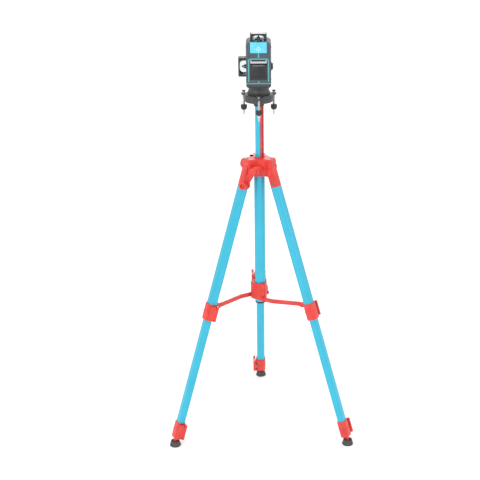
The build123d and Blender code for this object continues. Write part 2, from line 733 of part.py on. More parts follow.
def pendulum():
    head = box(-9, 9, -9, 9, gimbal_height - 6, gimbal_height + 6)
    head = chamfer(head.edges().filter_by(Axis.Z), 2.0)
    pins = rod_y(gimbal_pin, -16, 16, 0, gimbal_height)
    stem = box(-5, 5, -5, 5, weight_top - 1, gimbal_height - 5)
    weight = frustum(weight_radius - 2.5, weight_radius, weight_low, weight_low + 3)
    weight += rod(weight_radius, weight_low + 3, weight_top)
    return head + pins + stem + weight


def laser_modules():
    """Three barrels with cone prisms: one up, one to the side and one to the front."""
    def barrel(length):
        neck = module_radius - 1.6
        body = rod(module_radius, 0, length - 9) + rod(neck, length - 9, length - 5)
        return body + frustum(neck, 0.8, length - 5, length)
    top = Pos(0, 0, gimbal_height + 6) * barrel(body_top + 11 - gimbal_height - 6)
    side = Pos(-5, 0, side_height) * Rot(0, -90, 0) * barrel(body_width / 2 + 7)
    front = Pos(0, 5, side_height) * Rot(-90, 0, 0) * barrel(body_front + 5)
    return top, side, front


def battery_pack():
    y0, y1 = body_back - 0.5, body_back + battery_deep
    body = box(-battery_half, battery_half, y0, y1, battery_low, battery_high)
    body = fillet(body.edges().filter_by(Axis.Y), 2.0)
    body = chamfer(body.edges().group_by(Axis.Y)[0], 0.8)
    for i in range(3):
        z = battery_low + 8 + 7 * i
        body -= box(-14, 14, body_back - 1, body_back + 0.3, z, z + 2)
    return body


def battery_latch():
    """A press bar whose two ends turn up."""
    y0, y1 = body_back - 0.6, body_back + 3
    body = box(-latch_half, latch_half, y0, y1, latch_low, latch_low + 5)
    for side in (-1, 1):
        body += box(*sorted((side * latch_half, side * (latch_half - 3))), y0, y1, latch_low, latch_low + 8.5)
    return body


def lock_switch():
    half = body_width / 2
    plate = box(half - 1.1, half + 1.6, -7.5, 7.5, switch_low, switch_low + switch_tall)
    grip = box(half + 1, half + 5.5, -5.5, 5.5, switch_low + 3, switch_low + switch_tall - 3)
    grip = fillet(grip.edges().group_by(Axis.X)[-1], 1.8)
    body = plate + grip
    for i in range(4):
        z = switch_low + 6 + 3.2 * i
        body -= box(half + 4.9, half + 7, -7, 7, z, z + 1)
    return body


def power_button():
    cap = rod(key_radius, body_top - 2.6, body_top + 1.4, 0, key_y)
    return fillet(cap.edges().group_by(Axis.Z)[-1], 0.6)


def build_level():
    frames, windows = [], []
    for place, length, width, tall in cage_places():
        frames.append(place * cage(length, width, tall))
        windows.append(place * window(length, width, tall))
    write("lower_housing", lower_housing())
    write("housing", housing())
    write("window_frames", *frames)
    write("windows", *windows)
    write("gimbal_ring", gimbal_ring())
    write("pendulum", pendulum())
    write("laser_modules", *laser_modules())
    write("battery_pack", battery_pack())
    write("battery_latch", battery_latch())
    write("lock_switch", lock_switch())
    write("power_button", power_button())


parts = {}
os.makedirs("parts", exist_ok=True)
build_legs()
build_shoulder()
build_spreader()
build_column()
build_base()
build_level()
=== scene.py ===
"""Finishes, small pieces and stage for a laser level on its elevator tripod. Everything is in metres."""
import json
import math

import bmesh
import bpy
from bpy.props import FloatProperty, FloatVectorProperty, IntProperty, PointerProperty
from mathutils import Euler, Matrix, Vector


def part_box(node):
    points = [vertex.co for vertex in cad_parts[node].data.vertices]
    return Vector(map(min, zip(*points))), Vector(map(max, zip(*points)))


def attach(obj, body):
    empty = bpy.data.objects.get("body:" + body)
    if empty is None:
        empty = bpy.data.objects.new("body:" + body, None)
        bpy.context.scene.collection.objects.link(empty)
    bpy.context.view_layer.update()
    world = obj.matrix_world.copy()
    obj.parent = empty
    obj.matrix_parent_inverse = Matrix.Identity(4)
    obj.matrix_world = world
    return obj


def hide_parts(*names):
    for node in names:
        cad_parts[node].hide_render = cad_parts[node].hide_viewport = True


bl_info = {
    "name": "Laser level on tripod",
    "version": (1, 0, 0),
    "blender": (4, 5, 0),
    "location": "3D View > Sidebar > Laser level",
    "description": "Adds the finishes and the small pieces of a laser level and its tripod",
    "category": "Add Mesh",
}

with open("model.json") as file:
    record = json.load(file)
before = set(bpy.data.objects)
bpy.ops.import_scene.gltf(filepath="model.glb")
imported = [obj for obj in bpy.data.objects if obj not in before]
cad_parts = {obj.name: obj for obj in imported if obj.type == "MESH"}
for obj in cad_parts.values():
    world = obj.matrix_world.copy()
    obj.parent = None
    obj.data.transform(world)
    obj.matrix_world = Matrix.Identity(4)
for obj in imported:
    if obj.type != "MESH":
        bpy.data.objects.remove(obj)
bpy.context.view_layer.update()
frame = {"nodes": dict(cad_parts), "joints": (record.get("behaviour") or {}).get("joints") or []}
JOINTS = {joint["name"]: joint for joint in frame["joints"]}
LEGS = ("rear", "left", "right")
LEVELLING_FEET = ("back", "right", "left")
MM = 0.001
TUBE_END = 811.0 * MM              # how far down a leg its lowest tube ends and the red toe begins
CAMERA_AT = (0, -2.909, 1.674)
AIM_AT = (0, 0, 0.62)               # the point that the lights face
FLOOR_REACH = 30                   # metres from the middle of the floor to its edge


# ---------------------------------------------------------------- settings

def colour(name, text, value):
    return FloatVectorProperty(name=name, description=text, default=value, subtype="COLOR", min=0, max=1)


def length(name, text, value):
    return FloatProperty(name=name, description=text, default=value, unit="LENGTH", min=0)


class ColourSettings(bpy.types.PropertyGroup):
    """Base colours of the finishes."""
    blue: colour("Blue coat", "Coating of the leg tubes, the column and the centre tube", (0.020, 0.40, 0.56))
    red: colour("Red plastic", "Castings, collars, levers and spreader", (0.62, 0.030, 0.020))
    slate: colour("Slate housing", "Moulded housing of the level", (0.040, 0.062, 0.072))
    trim: colour("Cyan trim", "Soft trim on the housing", (0.075, 0.30, 0.34))
    label: colour("Label", "Plate above the battery", (0.10, 0.50, 0.72))
    black: colour("Black plastic", "Knobs, base and window frames", (0.018, 0.018, 0.020))
    rubber: colour("Rubber", "Tripod feet and the power key", (0.050, 0.050, 0.050))
    latch: colour("Latch grey", "Battery latch and window frame roofs", (0.42, 0.41, 0.44))


class SizeSettings(bpy.types.PropertyGroup):
    """Sizes of the pieces that are added to the frame."""
    trim_proud: length("Trim height", "How far the trim stands off the housing", 0.45 * MM)
    trim_width: length("Trim width", "Width of the trim round the battery", 3.3 * MM)
    label_width: length("Label width", "Width of the plate above the battery", 43.6 * MM)
    label_drop: length("Label drop", "How far the plate reaches down the face", 20.8 * MM)
    roof_length: length("Roof length", "Length of the plate on the top window frame", 39.4 * MM)
    roof_width: length("Roof width", "Width of the plate on the top window frame", 25.0 * MM)
    roof_thick: length("Roof height", "How far that plate stands off the frame", 0.4 * MM)
    seam_tall: length("Seam height", "Height of the seam strip", 2.5 * MM)
    rib_pitch: length("Rib pitch", "Distance between the ribs of the battery", 2.8 * MM)
    rib_count: IntProperty(name="Ribs", description="Number of ribs on the battery", default=11,
                           min=1, max=20)
    thread_pitch: length("Thread pitch", "Pitch of the levelling screws", 1.0 * MM)
    knurl_count: IntProperty(name="Knurls", description="Flutes round a levelling knob", default=18,
                             min=6, max=40)
    tick_count: IntProperty(name="Scale marks", description="Marks round the base", default=72,
                            min=12, max=360)
    screw_radius: length("Screw radius", "Radius of the housing screws", 2.1 * MM)


class StageSettings(bpy.types.PropertyGroup):
    """Camera and light."""
    lens: FloatProperty(name="Lens", description="Focal length in millimetres", default=82.5, min=10)
    tilt: FloatProperty(name="Tilt", description="Camera tilt up from straight down",
                        default=math.radians(69.33), subtype="ANGLE")
    roll: FloatProperty(name="Roll", description="Camera roll", default=math.radians(-0.44), subtype="ANGLE")
    shift: FloatProperty(name="Shift", description="Sideways shift of the picture", default=-0.0415)
    key: FloatProperty(name="Key", description="Power of the key light", default=62, min=0, unit="POWER")
    fill: FloatProperty(name="Fill", description="Power of the fill light", default=24, min=0, unit="POWER")
    back: FloatProperty(name="Back", description="Power of the light from behind", default=34,
                        min=0, unit="POWER")
    world: FloatProperty(name="Surroundings", description="Strength of the surroundings", default=1.05, min=0)
    floor: colour("Floor", "Colour of the floor", (0.96, 0.96, 0.96))


# ---------------------------------------------------------------- finishes

class Finish:
    """A material with its texture nodes. Patterns read Object coordinates, so a scale counts per metre."""

    def __init__(self, name, place=None):
        self.material = bpy.data.materials.new(name)
        self.material.use_nodes = True
        self.tree = self.material.node_tree
        self.shader = self.tree.nodes["Principled BSDF"]
        self.coords = self.node("ShaderNodeTexCoord").outputs["Object"]
        if place is not None:
            turn = self.node("ShaderNodeMapping", vector_type="TEXTURE")
            turn.inputs["Location"].default_value = place.to_translation()
            turn.inputs["Rotation"].default_value = place.to_euler()
            self.link(self.coords, turn.inputs["Vector"])
            self.coords = turn.outputs["Vector"]
        self.normal = None
        self.tint = None

    def node(self, kind, **settings):
        made = self.tree.nodes.new(kind)
        for key, value in settings.items():
            setattr(made, key, value)
        return made

    def link(self, start, end):
        self.tree.links.new(start, end)

    def sockets(self, **values):
        for key, value in values.items():
            self.shader.inputs[key.replace("_", " ")].default_value = value
        return self

    def stretched(self, scale):
        spread = self.node("ShaderNodeMapping")
        spread.inputs["Scale"].default_value = scale
        self.link(self.coords, spread.inputs["Vector"])
        return spread.outputs["Vector"]

    def noise(self, scale, detail=3.0, stretch=None):
        made = self.node("ShaderNodeTexNoise")
        made.inputs["Scale"].default_value = scale
        made.inputs["Detail"].default_value = detail
        self.link(self.stretched(stretch) if stretch else self.coords, made.inputs["Vector"])
        return made.outputs["Fac"]

    def cells(self, scale):
        made = self.node("ShaderNodeTexVoronoi")
        made.inputs["Scale"].default_value = scale
        self.link(self.coords, made.inputs["Vector"])
        return made.outputs["Distance"]

    def rings(self, scale, axis="Z", kind="BANDS"):
        made = self.node("ShaderNodeTexWave", wave_type=kind)
        if kind == "BANDS":
            made.bands_direction = axis
        made.inputs["Scale"].default_value = scale
        self.link(self.coords, made.inputs["Vector"])
        return made.outputs["Fac"]

    def limits(self, value, low, high, start=0.3, end=0.7):
        made = self.node("ShaderNodeMapRange")
        for key, number in (("From Min", start), ("From Max", end), ("To Min", low), ("To Max", high)):
            made.inputs[key].default_value = number
        self.link(value, made.inputs["Value"])
        return made.outputs["Result"]

    def colours(self, first, second, amount):
        """Two colours, mixed by a pattern, over whatever colour is there already."""
        made = self.node("ShaderNodeMix", data_type="RGBA")
        self.link(amount, made.inputs[0])
        if self.tint is None:
            made.inputs[6].default_value = (*first, 1)
        else:
            self.link(self.tint, made.inputs[6])
        made.inputs[7].default_value = (*second, 1)
        self.tint = made.outputs[2]
        self.link(self.tint, self.shader.inputs["Base Color"])
        return self

    def below(self, height):
        """1 below a height in the finish's own frame, 0 above it."""
        split = self.node("ShaderNodeSeparateXYZ")
        self.link(self.coords, split.inputs["Vector"])
        less = self.node("ShaderNodeMath", operation="LESS_THAN")
        less.inputs[1].default_value = height
        self.link(split.outputs["Z"], less.inputs[0])
        return less.outputs["Value"]

    def roughness(self, pattern, low, high):
        self.link(self.limits(pattern, low, high), self.shader.inputs["Roughness"])
        return self

    def rounded_edges(self, radius):
        soft = self.node("ShaderNodeBevel", samples=4)
        soft.inputs["Radius"].default_value = radius
        self.normal = soft.outputs["Normal"]
        self.link(self.normal, self.shader.inputs["Normal"])
        return self

    def bump(self, pattern, strength, depth):
        made = self.node("ShaderNodeBump")
        made.inputs["Strength"].default_value = strength
        made.inputs["Distance"].default_value = depth
        self.link(pattern, made.inputs["Height"])
        if self.normal is not None:
            self.link(self.normal, made.inputs["Normal"])
        self.normal = made.outputs["Normal"]
        self.link(self.normal, self.shader.inputs["Normal"])
        return self


def scaled(tone, factor):
    return tuple(min(1.0, channel * factor) for channel in tone)


def towards(tone, other, share):
    return tuple(a + (b - a) * share for a, b in zip(tone, other))


def moulded(name, tone, low, high, grain=2600, depth=0.04 * MM, edge=0.7 * MM):
    """Moulded plastic: a fine grain, faint flow marks and softened edges."""
    made = Finish(name)
    flow = made.limits(made.noise(34, 4), 0.0, 1.0)
    made.colours(scaled(tone, 0.86), scaled(tone, 1.14), flow)
    dust = made.limits(made.noise(220, 6), 0.0, 0.10, 0.55, 0.75)
    made.colours(tone, towards(tone, (0.7, 0.7, 0.7), 0.5), dust)
    made.roughness(made.noise(90, 5), low, high)
    made.rounded_edges(edge)
    made.bump(made.noise(grain, 2), 0.35, depth)
    return made


def coated_tube(name, tone, place):
    """Glossy coat over a drawn tube: orange peel, with faint lines along the tube."""
    made = Finish(name, place)
    made.colours(scaled(tone, 0.96), scaled(tone, 1.04), made.limits(made.noise(26, 3), 0, 1))
    lines = made.noise(1, 3, (900, 900, 12))
    made.colours(tone, towards(tone, (0.5, 0.95, 1.0), 0.35), made.limits(lines, 0.0, 0.05, 0.5, 0.8))
    made.roughness(made.noise(140, 2), 0.28, 0.33)
    made.bump(made.noise(900, 2), 0.12, 0.012 * MM)
    made.bump(lines, 0.08, 0.010 * MM)
    made.sockets(Metallic=0.35, Coat_Weight=0.35, Coat_Roughness=0.12)
    return made


def turned_metal(name, tone, low, high, metallic=1.0):
    made = Finish(name)
    made.colours(scaled(tone, 0.85), scaled(tone, 1.1), made.limits(made.noise(160, 5), 0, 1))
    made.roughness(made.noise(700, 4), low, high)
    made.rounded_edges(0.3 * MM)
    made.bump(made.rings(900), 0.10, 0.02 * MM)
    made.sockets(Metallic=metallic)
    return made


def clear(name, tone, rough, ior):
    made = Finish(name)
    made.colours(tone, scaled(tone, 0.96), made.limits(made.noise(60, 3), 0, 1))
    made.roughness(made.noise(300, 4), rough, rough + 0.05)
    made.sockets(Transmission_Weight=1.0, IOR=ior)
    return made


def pebbled(name, tone):
    """Rubber with a pebbled skin."""
    made = Finish(name)
    made.colours(scaled(tone, 0.8), scaled(tone, 1.25), made.limits(made.noise(70, 5), 0, 1))
    made.colours(tone, (0.22, 0.21, 0.20), made.limits(made.noise(260, 6), 0.0, 0.25, 0.52, 0.75))
    made.roughness(made.noise(120, 4), 0.62, 0.80)
    made.rounded_edges(0.8 * MM)
    made.bump(made.cells(900), 0.4, 0.10 * MM)
    return made


def leg_place(leg):
    """A leg's own frame: origin on its hinge, Z up the leg, X outwards."""
    hinge = JOINTS[f"leg_fold_{leg}"]
    y = Vector(hinge["axis"])
    z = Vector(JOINTS[f"middle_slide_{leg}"]["axis"])
    turned = Matrix((y.cross(z), y, z)).transposed().to_4x4()
    return Matrix.Translation(hinge["pos_m"]) @ turned


def make_finishes(tones):
    made = {f"blue_{leg}": coated_tube(f"blue_coat_{leg}", tones.blue, leg_place(leg)) for leg in LEGS}
    for leg in LEGS:
        made[f"lower_{leg}"] = coated_tube(f"lower_tube_coat_{leg}", tones.blue, leg_place(leg))
        made[f"lower_{leg}"].colours(tones.blue, tuple(tones.red), made[f"lower_{leg}"].below(-TUBE_END))
    made["blue"] = coated_tube("blue_coat_column", tones.blue, Matrix.Identity(4))
    made["red"] = moulded("red_plastic", tones.red, 0.30, 0.44, grain=1900)
    made["red"].sockets(Coat_Weight=0.10, Coat_Roughness=0.30, Subsurface_Weight=0.04, Subsurface_Scale=0.004)
    made["slate"] = moulded("slate_housing", tones.slate, 0.45, 0.60, grain=3200)
    made["black"] = moulded("black_plastic", tones.black, 0.40, 0.55, grain=2800)
    made["dark"] = moulded("dark_base", scaled(tones.black, 1.9), 0.42, 0.56, grain=2400)
    made["trim"] = moulded("cyan_trim", tones.trim, 0.38, 0.52, grain=3600)
    made["latch"] = moulded("latch_grey", tones.latch, 0.30, 0.42, grain=2400)
    made["label"] = moulded("label_face", tones.label, 0.22, 0.32, grain=4200, depth=0.02 * MM)
    made["label_mark"] = moulded("label_mark", (0.62, 0.88, 0.92), 0.3, 0.4)
    made["rubber"] = pebbled("dark_rubber", tones.rubber)
    made["steel"] = turned_metal("bright_steel", (0.56, 0.55, 0.53), 0.24, 0.38)
    made["bolt"] = turned_metal("dark_bolt", (0.20, 0.20, 0.21), 0.30, 0.45)
    made["red_bolt"] = moulded("red_bolt_coat", tones.red, 0.34, 0.48, grain=2200, edge=0.3 * MM)
    made["brass"] = turned_metal("turned_brass", (0.78, 0.57, 0.25), 0.22, 0.36)
    made["alloy"] = turned_metal("machined_alloy", (0.62, 0.63, 0.64), 0.28, 0.42)
    made["clear"] = clear("window_clear", (0.93, 0.98, 0.98), 0.02, 1.12)
    made["vial"] = clear("vial_fluid", (0.80, 0.92, 0.16), 0.03, 1.40)
    made["lens"] = clear("cone_prism", (0.90, 0.96, 1.0), 0.02, 1.52)
    return {key: value.material for key, value in made.items()}


NODE_FINISHES = (
    ("leg_casting", "red"), ("mid_collar", "red"), ("lower_collar", "red"), ("mid_lever", "red"),
    ("lower_lever", "red"), ("rubber_foot", "rubber"), ("spreader", "red"), ("shoulder", "red"),
    ("leg_pivot_bolts", "red_bolt"), ("centre_tube_cap", "black"), ("centre_tube", "blue"),
    ("column_tube", "blue"),
    ("column_rack", "red"), ("column_head", "black"), ("column_lock_knob", "red"), ("crank_shaft", "bolt"),
    ("crank", "red"), ("levelling_base", "dark"), ("turntable", "black"), ("lower_housing", "dark"),
    ("housing", "slate"), ("window_frames", "black"), ("windows", "clear"), ("gimbal_ring", "alloy"),
    ("pendulum", "brass"), ("battery_pack", "black"), ("battery_latch", "latch"), ("lock_switch", "black"),
    ("power_button", "rubber"))


# ---------------------------------------------------------------- mesh tools

def put(bm, name, finish, body, replaces=(), sharp=30):
    """Makes the finished piece: it sits at the origin with its place in its mesh, and rides on a body."""
    bmesh.ops.remove_doubles(bm, verts=bm.verts, dist=1e-6)
    bmesh.ops.recalc_face_normals(bm, faces=bm.faces)
    mesh = bpy.data.meshes.new(name)
    bm.to_mesh(mesh)
    bm.free()
    mesh.shade_smooth()
    mesh.set_sharp_from_angle(angle=math.radians(sharp))
    piece = bpy.data.objects.new(name, mesh)
    bpy.context.scene.collection.objects.link(piece)
    mesh.materials.append(bpy.data.materials[FINISHES[finish]])
    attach(piece, body)
    if replaces:
        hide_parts(*replaces)
    return piece


FINISHES = {}


def slab(bm, low, high, edge=0.0, place=None, segments=2):
    """A block between two corners, with its edges rounded."""
    low, high = Vector(low), Vector(high)
    size = high - low
    made = bmesh.ops.create_cube(bm, size=1.0, matrix=Matrix.Translation((low + high) / 2) @ Matrix.Diagonal(
        (*size, 1.0)))
    if edge:
        edges = list({e for v in made["verts"] for e in v.link_edges})
        made = bmesh.ops.bevel(bm, geom=edges, offset=edge, segments=segments, profile=0.5, affect="EDGES",
                               material=-1)
    if place is not None:
        bmesh.ops.transform(bm, matrix=place, verts=made["verts"])
    return made["verts"]


def turned(bm, profile, place, steps=32):
    """A closed turned shape: the profile's (radius, height) points, spun about the place's Z axis."""
    verts = [bm.verts.new((radius, 0, height)) for radius, height in profile]
    edges = [bm.edges.new(pair) for pair in zip(verts, verts[1:])]
    bmesh.ops.spin(bm, geom=verts + edges, cent=(0, 0, 0), axis=(0, 0, 1), angle=math.tau, steps=steps,
                   use_merge=True)
    fresh = reach(verts)
    bmesh.ops.remove_doubles(bm, verts=fresh, dist=1e-7)
    fresh = reach([v for v in verts if v.is_valid])
    bmesh.ops.transform(bm, matrix=place, verts=fresh)
    return fresh


def reach(verts):
    """Every vertex joined to these ones."""
    found, waiting = set(verts), list(verts)
    while waiting:
        for edge in waiting.pop().link_edges:
            for vert in edge.verts:
                if vert not in found:
                    found.add(vert)
                    waiting.append(vert)
    return list(found)


def rounded_face(bm, width, height, corner, segments=6):
    """A flat face in the XY plane with rounded corners."""
    verts = bmesh.ops.create_grid(bm, x_segments=1, y_segments=1, size=0.5)["verts"]
    bmesh.ops.scale(bm, vec=(width, height, 1), verts=verts)
    face = verts[0].link_faces[0]
    bmesh.ops.bevel(bm, geom=verts, offset=corner, segments=segments, profile=0.5, affect="VERTICES",
                    material=-1)
    return next(f for f in bm.faces if f.is_valid and (f == face or len(f.verts) >= 4 * segments))


def thicken(bm, faces, thick):
    """Raises flat faces to a closed plate, towards +Z."""
    grown = bmesh.ops.extrude_face_region(bm, geom=list(faces), use_keep_orig=True)
    fresh = [v for v in grown["geom"] if isinstance(v, bmesh.types.BMVert)]
    bmesh.ops.translate(bm, vec=(0, 0, thick), verts=fresh)
    return fresh


def band(bm, width, height, corner, band_width):
    """A flat rounded frame of one width in the XY plane."""
    face = rounded_face(bm, width, height, corner)
    face.normal_update()
    bmesh.ops.inset_region(bm, faces=[face], thickness=band_width, use_even_offset=True, use_boundary=True)
    bmesh.ops.delete(bm, geom=[face], context="FACES")


def screw_head(bm, place, radius, height, steps=24):
    """A low pan head with a hexagon socket, its outer face towards +Z."""
    disc = bmesh.ops.create_circle(bm, cap_ends=True, radius=radius, segments=steps)["verts"]
    face = disc[0].link_faces[0]
    grown = bmesh.ops.extrude_face_region(bm, geom=[face], use_keep_orig=True)["geom"]
    top = next(g for g in grown if isinstance(g, bmesh.types.BMFace))
    bmesh.ops.translate(bm, vec=(0, 0, height * 0.7), verts=top.verts)
    bmesh.ops.inset_region(bm, faces=[top], thickness=radius * 0.18, depth=height * 0.3)
    bmesh.ops.inset_region(bm, faces=[top], thickness=radius * 0.30)
    for vert in top.verts:
        angle = math.atan2(vert.co.y, vert.co.x)
        off = (angle + math.pi / 6) % (math.pi / 3) - math.pi / 6
        ring = radius * 0.46 / math.cos(off)
        vert.co.x, vert.co.y = ring * math.cos(angle), ring * math.sin(angle)
    bmesh.ops.inset_region(bm, faces=[top], thickness=0.00002, depth=-height * 0.6)
    bmesh.ops.transform(bm, matrix=place, verts=reach(disc))


def facing(point, direction):
    """A frame at a point whose Z axis is the direction."""
    return Matrix.Translation(point) @ Vector(direction).to_track_quat("Z", "Y").to_matrix().to_4x4()


FRONT = Matrix(((1, 0, 0, 0), (0, 0, -1, 0), (0, 1, 0, 0), (0, 0, 0, 1)))     # XY plane turned to face -Y


def separate_shells(node):
    """The closed shells of a CAD node, merged, from the lowest up."""
    source = frame["nodes"][node].data
    whole = bmesh.new()
    whole.from_mesh(source)
    bmesh.ops.remove_doubles(whole, verts=whole.verts, dist=1e-6)
    left, shells = set(whole.verts), []
    while left:
        shell = reach([next(iter(left))])
        left -= set(shell)
        shells.append({v.index for v in shell})
    whole.verts.ensure_lookup_table()
    heights = [min(whole.verts[i].co.z for i in shell) for shell in shells]
    made = []
    for _, shell in sorted(zip(heights, shells), key=lambda pair: pair[0]):
        copy = whole.copy()
        spare = [v for v in copy.verts if v.index not in shell]
        bmesh.ops.delete(copy, geom=spare, context="VERTS")
        made.append(copy)
    whole.free()
    return made


# ---------------------------------------------------------------- operators

class PaintFrame(bpy.types.Operator):
    """Make the finishes and give one to each piece of the frame"""
    bl_idname = "laser_level.paint_frame"
    bl_label = "Paint the frame"

    def execute(self, context):
        made = make_finishes(context.scene.level_colours)
        FINISHES.update({key: material.name for key, material in made.items()})
        for name, node in frame["nodes"].items():
            leg = name.rsplit("_", 1)[-1]
            if name.startswith(("upper_tube", "middle_tube")):
                finish = f"blue_{leg}"
            elif name.startswith("lower_tube"):
                finish = f"lower_{leg}"
            else:
                finish = next((f for start, f in NODE_FINISHES if name.startswith(start)), "dark")
            node.data.materials.clear()
            node.data.materials.append(made[finish])
        return {"FINISHED"}


class AddLabel(bpy.types.Operator):
    """Add the label plate, bent over the top edge of the housing, and its marks"""
    bl_idname = "laser_level.add_label"
    bl_label = "Label plate"

    def execute(self, context):
        sizes = context.scene.level_sizes
        low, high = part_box("housing")
        slope = 6.0 * MM
        bend, half = high.z - slope, sizes.label_width / 2
        out = sizes.trim_proud
        bm = bmesh.new()
        line = [bm.verts.new((-half, y, z)) for y, z in (
            (low.y, bend - sizes.label_drop), (low.y, bend), (low.y + slope, high.z))]
        edges = [bm.edges.new(pair) for pair in zip(line, line[1:])]
        swept = bmesh.ops.extrude_edge_only(bm, edges=edges)["geom"]
        moved = [v for v in swept if isinstance(v, bmesh.types.BMVert)]
        bmesh.ops.translate(bm, vec=(2 * half, 0, 0), verts=moved)
        bmesh.ops.recalc_face_normals(bm, faces=bm.faces)
        if sum((f.normal.y for f in bm.faces)) > 0:
            bmesh.ops.reverse_faces(bm, faces=bm.faces)
        bmesh.ops.solidify(bm, geom=list(bm.faces), thickness=-out)
        bmesh.ops.recalc_face_normals(bm, faces=bm.faces)
        short = [e for e in bm.edges if e.calc_length() < out * 1.5]
        bmesh.ops.bevel(bm, geom=short, offset=1.2 * MM, segments=4, profile=0.5, affect="EDGES", material=-1)
        put(bm, "label_plate", "label", "level")
        bm = bmesh.new()
        centre = (low.y - out, bend - sizes.label_drop * 0.5)
        for reach_x, reach_z in ((13 * MM, 0.35 * MM), (0.35 * MM, 7 * MM)):
            slab(bm, (-reach_x, centre[0] - 0.12 * MM, centre[1] - reach_z),
                 (reach_x, centre[0] + 0.1 * MM, centre[1] + reach_z), 0.05 * MM)
        ring = [(4.2 * MM, 0), (4.9 * MM, 0), (4.9 * MM, 0.2 * MM), (4.2 * MM, 0.2 * MM), (4.2 * MM, 0)]
        turned(bm, ring, facing((0, centre[0] + 0.1 * MM, centre[1]), (0, -1, 0)), 40)
        put(bm, "label_cross", "label_mark", "level")
        return {"FINISHED"}


class AddTrim(bpy.types.Operator):
    """Add the soft trim round the battery, its stem and the seam strip"""
    bl_idname = "laser_level.add_trim"
    bl_label = "Housing trim"

    def execute(self, context):
        sizes = context.scene.level_sizes
        low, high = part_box("housing")
        latch_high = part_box("battery_latch")[1]
        out, wide = sizes.trim_proud, sizes.trim_width
        top = latch_high.z + wide + 1.2 * MM
        foot = low.z + 5.0 * MM
        half = high.x - 5.2 * MM
        bm = bmesh.new()
        band(bm, 2 * half, 2 * (top - foot), 6.5 * MM, wide)
        bmesh.ops.bisect_plane(bm, geom=[*bm.verts, *bm.edges, *bm.faces], plane_co=(0, 0, 0),
                               plane_no=(0, -1, 0), clear_outer=True)
        thicken(bm, list(bm.faces), out + 0.3 * MM)
        place = Matrix.Translation((0, low.y + 0.3 * MM, foot)) @ FRONT
        bmesh.ops.transform(bm, matrix=place, verts=bm.verts)
        stem_top = high.z - 6 * MM - sizes.label_drop - 0.4 * MM
        slab(bm, (-wide * 0.5, low.y - out, top - wide * 0.4),
             (wide * 0.5, low.y + 0.3 * MM, stem_top), 0.2 * MM)
        put(bm, "panel_trim", "trim", "level")
        bm = bmesh.new()
        middle = (low + high) / 2
        corner = 6 * MM
        band(bm, high.x - low.x + 2 * out, high.y - low.y + 2 * out, corner + out, 2.0 * MM)
        thicken(bm, list(bm.faces), sizes.seam_tall)
        edges = [e for e in bm.edges if abs(e.calc_face_angle(0)) > 1.0]
        bmesh.ops.bevel(bm, geom=edges, offset=0.3 * MM, segments=2, profile=0.5, affect="EDGES", material=-1)
        bmesh.ops.translate(bm, vec=(middle.x, middle.y, low.z - sizes.seam_tall / 2), verts=bm.verts)
        put(bm, "seam_strip", "trim", "level")
        bm = bmesh.new()
        place = facing((0, low.y + 0.1 * MM, low.z + 4.2 * MM), (0, -1, 0))
        turned(bm, [(0, 0), (1.6 * MM, 0), (1.3 * MM, 0.5 * MM), (0, 0.5 * MM)], place, 4)
        put(bm, "centre_mark", "label_mark", "level")
        bm = bmesh.new()
        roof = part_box("window_frames")[1].z
        half_long, half_wide = sizes.roof_length / 2, sizes.roof_width / 2
        slab(bm, (-half_long, -half_wide, roof - 0.3 * MM), (half_long, half_wide, roof + sizes.roof_thick),
             0.2 * MM)
        put(bm, "roof_plate", "latch", "level")
        return {"FINISHED"}


class AddBatteryRibs(bpy.types.Operator):
    """Add the ribbed grip panel of the battery"""
    bl_idname = "laser_level.add_battery_ribs"
    bl_label = "Battery ribs"

    def execute(self, context):
        sizes = context.scene.level_sizes
        low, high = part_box("battery_pack")
        face = low.y
        half, pitch = 17.5 * MM, sizes.rib_pitch
        bottom = (low.z + high.z) / 2 - pitch * sizes.rib_count / 2 - 0.8 * MM
        bm = bmesh.new()
        slab(bm, (-half - MM, face - 0.15 * MM, bottom - MM),
             (half + MM, face + 0.1 * MM, bottom + pitch * sizes.rib_count + 0.4 * MM), 0.1 * MM)
        for i in range(sizes.rib_count):
            z = bottom + i * pitch
            slab(bm, (-half, face - 0.75 * MM, z), (half, face + 0.1 * MM, z + pitch * 0.52), 0.25 * MM)
        put(bm, "battery_ribs", "black", "battery")
        bm = bmesh.new()
        slab(bm, (-half * 0.9, face - 0.3 * MM, high.z - 2.6 * MM),
             (half * 0.9, face + 0.1 * MM, high.z - 1.9 * MM),
             0.12 * MM)
        put(bm, "battery_line", "latch", "battery")
        return {"FINISHED"}


